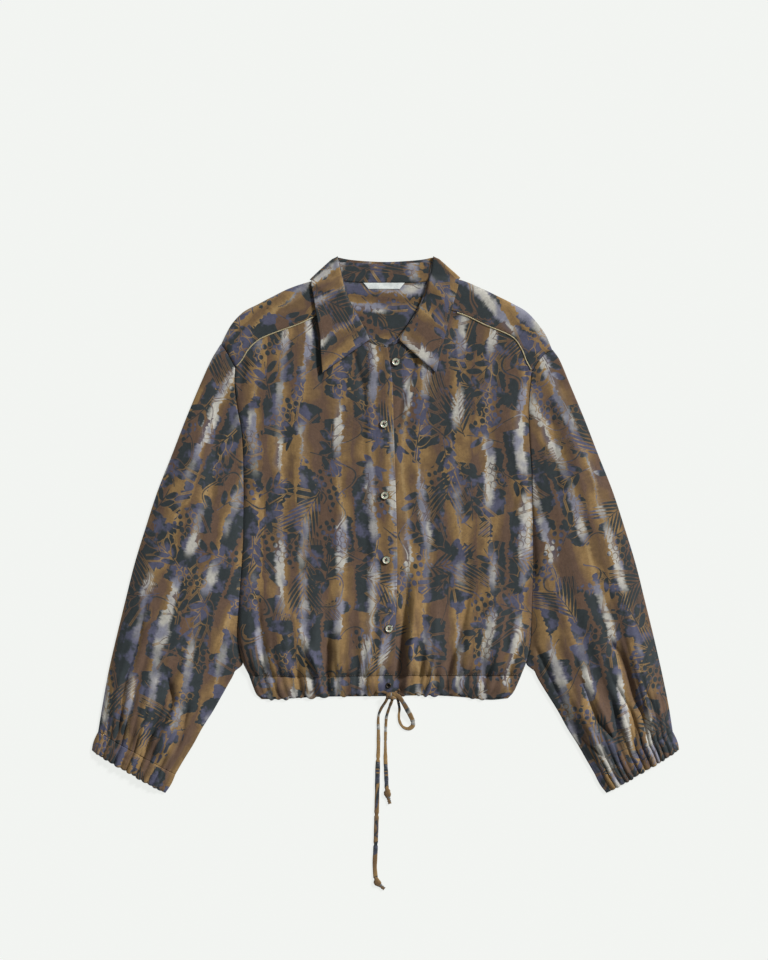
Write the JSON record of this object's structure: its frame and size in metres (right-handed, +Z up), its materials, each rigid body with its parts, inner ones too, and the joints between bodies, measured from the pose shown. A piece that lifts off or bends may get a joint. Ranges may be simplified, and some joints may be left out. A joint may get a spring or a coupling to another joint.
{
  "type": "cropped blouse",
  "caption": "Long-sleeved cropped blouse with a pointed collar, piped yoke, buttoned front, gathered cuffs and a drawstring hem, laid flat on its back.",
  "frame": {"origin": "on the surface that the blouse lies on, under the middle of its box without the drawstring", "axes": "+X to the viewer's right (the wearer's left), +Y towards the collar, +Z up from the surface"},
  "size_m": [0.792, 0.8567, 0.0167],
  "materials": {
    "printed_cloth": "soft matt woven viscose, dye-striped and printed in gold brown, slate, violet blue and pale grey",
    "piping_cloth": "pale gold satin piping",
    "pearl": "mother-of-pearl look with a dark rim",
    "dark_metal": "dark bronze metal",
    "label_cloth": "white woven ribbon, bare"
  },
  "bodies": {
    "root": {"back": "printed_cloth", "hem_back": "printed_cloth", "front_right": "printed_cloth", "front_left": "printed_cloth", "hem_right": "printed_cloth", "hem_left": "printed_cloth", "yoke": "printed_cloth", "collar_stand": "printed_cloth", "collar": "printed_cloth", "label": "label_cloth", "sleeve_right": "printed_cloth", "sleeve_left": "printed_cloth", "cuff_right": "printed_cloth", "cuff_left": "printed_cloth", "piping_right": "piping_cloth", "piping_left": "piping_cloth", "button_1": "pearl", "button_2": "pearl", "button_3": "pearl", "button_4": "pearl", "button_5": "pearl", "eyelet": "dark_metal", "drawstring_knot": "printed_cloth", "drawstring_loop": "printed_cloth", "drawstring_long": "printed_cloth", "drawstring_short": "printed_cloth", "end_knot_long": "printed_cloth", "end_knot_short": "printed_cloth"}
  },
  "joints": []
}
